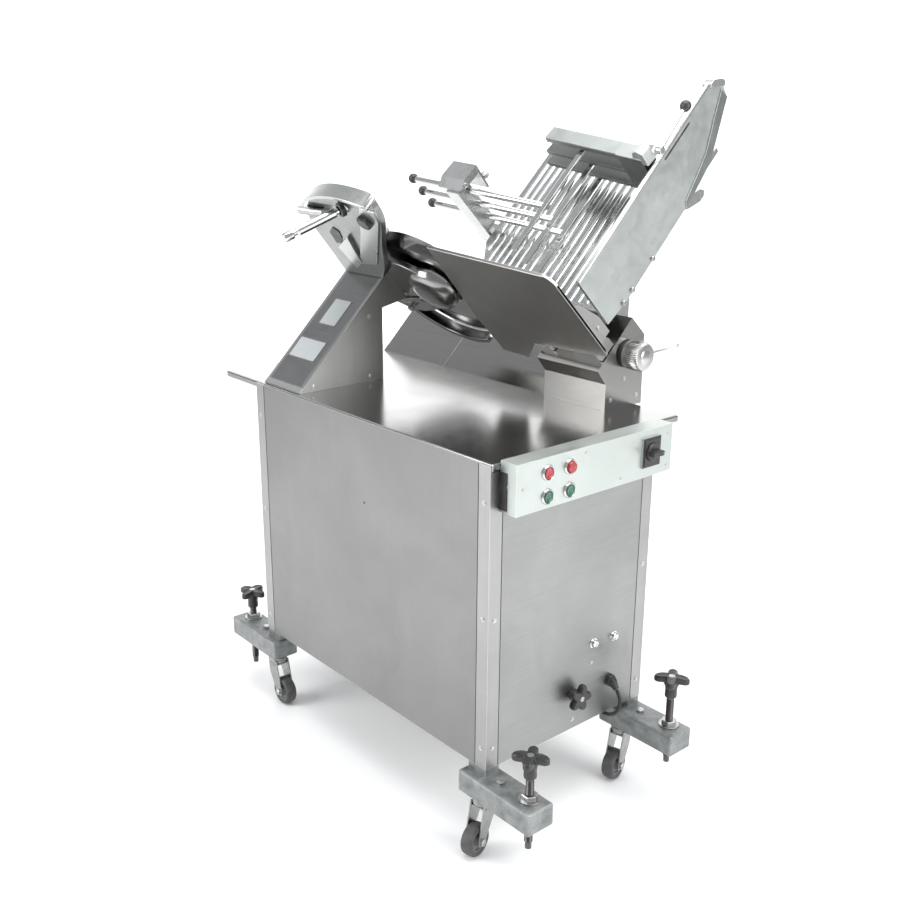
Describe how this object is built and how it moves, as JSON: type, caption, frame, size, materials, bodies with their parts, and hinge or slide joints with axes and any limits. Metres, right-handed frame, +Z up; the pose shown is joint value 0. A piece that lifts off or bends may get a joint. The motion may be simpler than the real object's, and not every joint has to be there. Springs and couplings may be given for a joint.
{
  "type": "automatic meat slicer",
  "caption": "Floor-standing powered meat slicer: steel cabinet on castored outriggers, inclined disc blade, gauge plate and sliding ribbed chute with toothed pusher.",
  "frame": {"origin": "centre of the machine's bounding box (without its lead) on the floor", "axes": "+X towards the control end, -Y towards the operator's long side, +Z up"},
  "size_m": [1.046, 0.7924, 1.4202],
  "materials": {
    "steel": "brushed stainless",
    "polished": "polished stainless",
    "cast": "polished cast aluminium",
    "pale": "pale satin",
    "zinc": "weathered grey zinc",
    "black": "black",
    "rubber": "dark grey rubber",
    "grey": "motor grey",
    "red": "red",
    "green": "dark green",
    "darksteel": "oiled dark steel",
    "cable": "black cable sheath"
  },
  "bodies": {
    "frame": {"bottom_tray": "steel", "worktop": "polished", "front_panel": "steel", "rear_panel": "steel", "blade_end_panel": "steel", "control_end_panel": "steel", "corner_post_blade_end_front": "steel", "corner_post_blade_end_rear": "steel", "corner_post_control_end_front": "steel", "corner_post_control_end_rear": "steel", "control_box": "pale", "cord_gland": "black", "power_cord": "cable", "cord_coil": "cable", "power_plug": "black", "blade_tower": "steel", "guide_housing": "polished", "blade_motor": "grey", "carriage_motor": "grey", "blade_gearbox": "cast", "sharpener_bracket": "cast", "outrigger_beam_front_right": "zinc", "outrigger_beam_rear_right": "zinc", "outrigger_beam_front_left": "zinc", "outrigger_beam_rear_left": "zinc"},
    "blade": {"blade": "polished"},
    "gauge_plate": {"gauge_plate": "steel"},
    "thickness_dial": {"thickness_dial": "cast"},
    "sharpener_rod": {"sharpener_rod": "cast"},
    "carriage": {"carriage": "cast", "chute_floor": "cast", "chute_wall": "pale", "fence": "cast"},
    "side_guide_low": {"side_guide_low": "cast"},
    "side_guide_middle": {"side_guide_middle": "cast"},
    "side_guide_high": {"side_guide_high": "cast"},
    "pusher": {"pusher": "steel"},
    "clamp_lever": {"clamp_lever": "black"},
    "switch_knob": {"switch_knob": "black"},
    "tension_knob": {"tension_knob": "black"},
    "stop_button": {"stop_button": "red"},
    "start_button": {"start_button": "green"},
    "blade_stop_button": {"blade_stop_button": "red"},
    "blade_start_button": {"blade_start_button": "green"},
    "castor_front_right": {"castor_fork_front_right": "zinc"},
    "wheel_front_right": {"castor_wheel_front_right": "rubber"},
    "screw_front_right": {"leveller_screw_front_right": "darksteel"},
    "screw_knob_front_right": {"leveller_knob_front_right": "black"},
    "castor_rear_right": {"castor_fork_rear_right": "zinc"},
    "wheel_rear_right": {"castor_wheel_rear_right": "rubber"},
    "screw_rear_right": {"leveller_screw_rear_right": "darksteel"},
    "screw_knob_rear_right": {"leveller_knob_rear_right": "black"},
    "castor_front_left": {"castor_fork_front_left": "zinc"},
    "wheel_front_left": {"castor_wheel_front_left": "rubber"},
    "screw_front_left": {"leveller_screw_front_left": "darksteel"},
    "screw_knob_front_left": {"leveller_knob_front_left": "black"},
    "castor_rear_left": {"castor_fork_rear_left": "zinc"},
    "wheel_rear_left": {"castor_wheel_rear_left": "rubber"},
    "screw_rear_left": {"leveller_screw_rear_left": "darksteel"},
    "screw_knob_rear_left": {"leveller_knob_rear_left": "black"}
  },
  "joints": [
    {"name": "blade_spin", "type": "hinge", "parent": "frame", "child": "blade", "pos_m": [-0.109, -0.04219, 1.01075], "axis": [0, 0.7071, 0.7071], "continuous": true},
    {"name": "carriage_slide", "type": "slide", "parent": "frame", "child": "carriage", "axis": [1, 0, 0], "range_m": [-0.3, 0.03]},
    {"name": "pusher_slide", "type": "slide", "parent": "carriage", "child": "pusher", "axis": [0, -0.7071, -0.7071], "range_m": [0, 0.25]},
    {"name": "clamp_turn", "type": "hinge", "parent": "pusher", "child": "clamp_lever", "pos_m": [0.2865, 0.18268, 1.28935], "axis": [1, 0, 0], "range_deg": [0, 70]},
    {"name": "side_guide_low_slide", "type": "slide", "parent": "carriage", "child": "side_guide_low", "axis": [0.9956, -0.0665, -0.0665], "range_m": [-0.12, 0.06]},
    {"name": "side_guide_middle_slide", "type": "slide", "parent": "carriage", "child": "side_guide_middle", "axis": [0.9956, -0.0665, -0.0665], "range_m": [-0.12, 0.06]},
    {"name": "side_guide_high_slide", "type": "slide", "parent": "carriage", "child": "side_guide_high", "axis": [0.9956, -0.0665, -0.0665], "range_m": [-0.12, 0.06]},
    {"name": "gauge_slide", "type": "slide", "parent": "frame", "child": "gauge_plate", "axis": [0, 0.7071, 0.7071], "range_m": [-0.009, 0.005]},
    {"name": "thickness_turn", "type": "hinge", "parent": "frame", "child": "thickness_dial", "pos_m": [0.276, 0.13257, 0.895], "axis": [1, 0, 0], "range_deg": [-90, 50]},
    {"name": "sharpener_feed", "type": "slide", "parent": "frame", "child": "sharpener_rod", "axis": [0.2342, 0.8894, 0.3926], "range_m": [0, 0.012]},
    {"name": "selector_turn", "type": "hinge", "parent": "frame", "child": "switch_knob", "pos_m": [0.427, 0.03557, 0.745], "axis": [1, 0, 0], "range_deg": [0, 90]},
    {"name": "tension_turn", "type": "hinge", "parent": "frame", "child": "tension_knob", "pos_m": [0.387, -0.11143, 0.264], "axis": [1, 0, 0], "range_deg": [-180, 180]},
    {"name": "stop_button_press", "type": "slide", "parent": "frame", "child": "stop_button", "axis": [-1, 0, 0], "range_m": [0, 0.003]},
    {"name": "start_button_press", "type": "slide", "parent": "frame", "child": "start_button", "axis": [-1, 0, 0], "range_m": [0, 0.003]},
    {"name": "blade_stop_button_press", "type": "slide", "parent": "frame", "child": "blade_stop_button", "axis": [-1, 0, 0], "range_m": [0, 0.003]},
    {"name": "blade_start_button_press", "type": "slide", "parent": "frame", "child": "blade_start_button", "axis": [-1, 0, 0], "range_m": [0, 0.003]},
    {"name": "castor_swivel_front_right", "type": "hinge", "parent": "frame", "child": "castor_front_right", "pos_m": [0.367, -0.32543, 0.12], "axis": [0, 0, 1], "continuous": true},
    {"name": "wheel_spin_front_right", "type": "hinge", "parent": "castor_front_right", "child": "wheel_front_right", "pos_m": [0.37262, -0.34979, 0.0325], "axis": [0.9744, 0.225, 0], "continuous": true},
    {"name": "leveller_slide_front_right", "type": "slide", "parent": "frame", "child": "screw_front_right", "axis": [0, 0, 1], "range_m": [-0.016, 0.012]},
    {"name": "leveller_turn_front_right", "type": "hinge", "parent": "screw_front_right", "child": "screw_knob_front_right", "pos_m": [0.486, -0.31943, 0.215], "axis": [0, 0, 1], "range_deg": [-1440, 1080]},
    {"name": "castor_swivel_rear_right", "type": "hinge", "parent": "frame", "child": "castor_rear_right", "pos_m": [0.367, 0.06957, 0.12], "axis": [0, 0, 1], "continuous": true},
    {"name": "wheel_spin_rear_right", "type": "hinge", "parent": "castor_rear_right", "child": "wheel_rear_right", "pos_m": [0.37262, 0.04521, 0.0325], "axis": [0.9744, 0.225, 0], "continuous": true},
    {"name": "leveller_slide_rear_right", "type": "slide", "parent": "frame", "child": "screw_rear_right", "axis": [0, 0, 1], "range_m": [-0.016, 0.012]},
    {"name": "leveller_turn_rear_right", "type": "hinge", "parent": "screw_rear_right", "child": "screw_knob_rear_right", "pos_m": [0.486, 0.07557, 0.215], "axis": [0, 0, 1], "range_deg": [-1440, 1080]},
    {"name": "castor_swivel_front_left", "type": "hinge", "parent": "frame", "child": "castor_front_left", "pos_m": [-0.365, -0.32543, 0.12], "axis": [0, 0, 1], "continuous": true},
    {"name": "wheel_spin_front_left", "type": "hinge", "parent": "castor_front_left", "child": "wheel_front_left", "pos_m": [-0.34, -0.32543, 0.0325], "axis": [0, 1, 0], "continuous": true},
    {"name": "leveller_slide_front_left", "type": "slide", "parent": "frame", "child": "screw_front_left", "axis": [0, 0, 1], "range_m": [-0.016, 0.012]},
    {"name": "leveller_turn_front_left", "type": "hinge", "parent": "screw_front_left", "child": "screw_knob_front_left", "pos_m": [-0.484, -0.31943, 0.215], "axis": [0, 0, 1], "range_deg": [-1440, 1080]},
    {"name": "castor_swivel_rear_left", "type": "hinge", "parent": "frame", "child": "castor_rear_left", "pos_m": [-0.365, 0.06957, 0.12], "axis": [0, 0, 1], "continuous": true},
    {"name": "wheel_spin_rear_left", "type": "hinge", "parent": "castor_rear_left", "child": "wheel_rear_left", "pos_m": [-0.34335, 0.05707, 0.0325], "axis": [0.5, 0.866, 0], "continuous": true},
    {"name": "leveller_slide_rear_left", "type": "slide", "parent": "frame", "child": "screw_rear_left", "axis": [0, 0, 1], "range_m": [-0.016, 0.012]},
    {"name": "leveller_turn_rear_left", "type": "hinge", "parent": "screw_rear_left", "child": "screw_knob_rear_left", "pos_m": [-0.484, 0.07557, 0.215], "axis": [0, 0, 1], "range_deg": [-1440, 1080]}
  ],
  "couplings": [
    {"joint": "thickness_turn", "follows": "gauge_slide", "rad_per_m": 174.53},
    {"joint": "leveller_slide_front_right", "follows": "leveller_turn_front_right", "m_per_rad": 0.00063662},
    {"joint": "leveller_slide_rear_right", "follows": "leveller_turn_rear_right", "m_per_rad": 0.00063662},
    {"joint": "leveller_slide_front_left", "follows": "leveller_turn_front_left", "m_per_rad": 0.00063662},
    {"joint": "leveller_slide_rear_left", "follows": "leveller_turn_rear_left", "m_per_rad": 0.00063662}
  ]
}
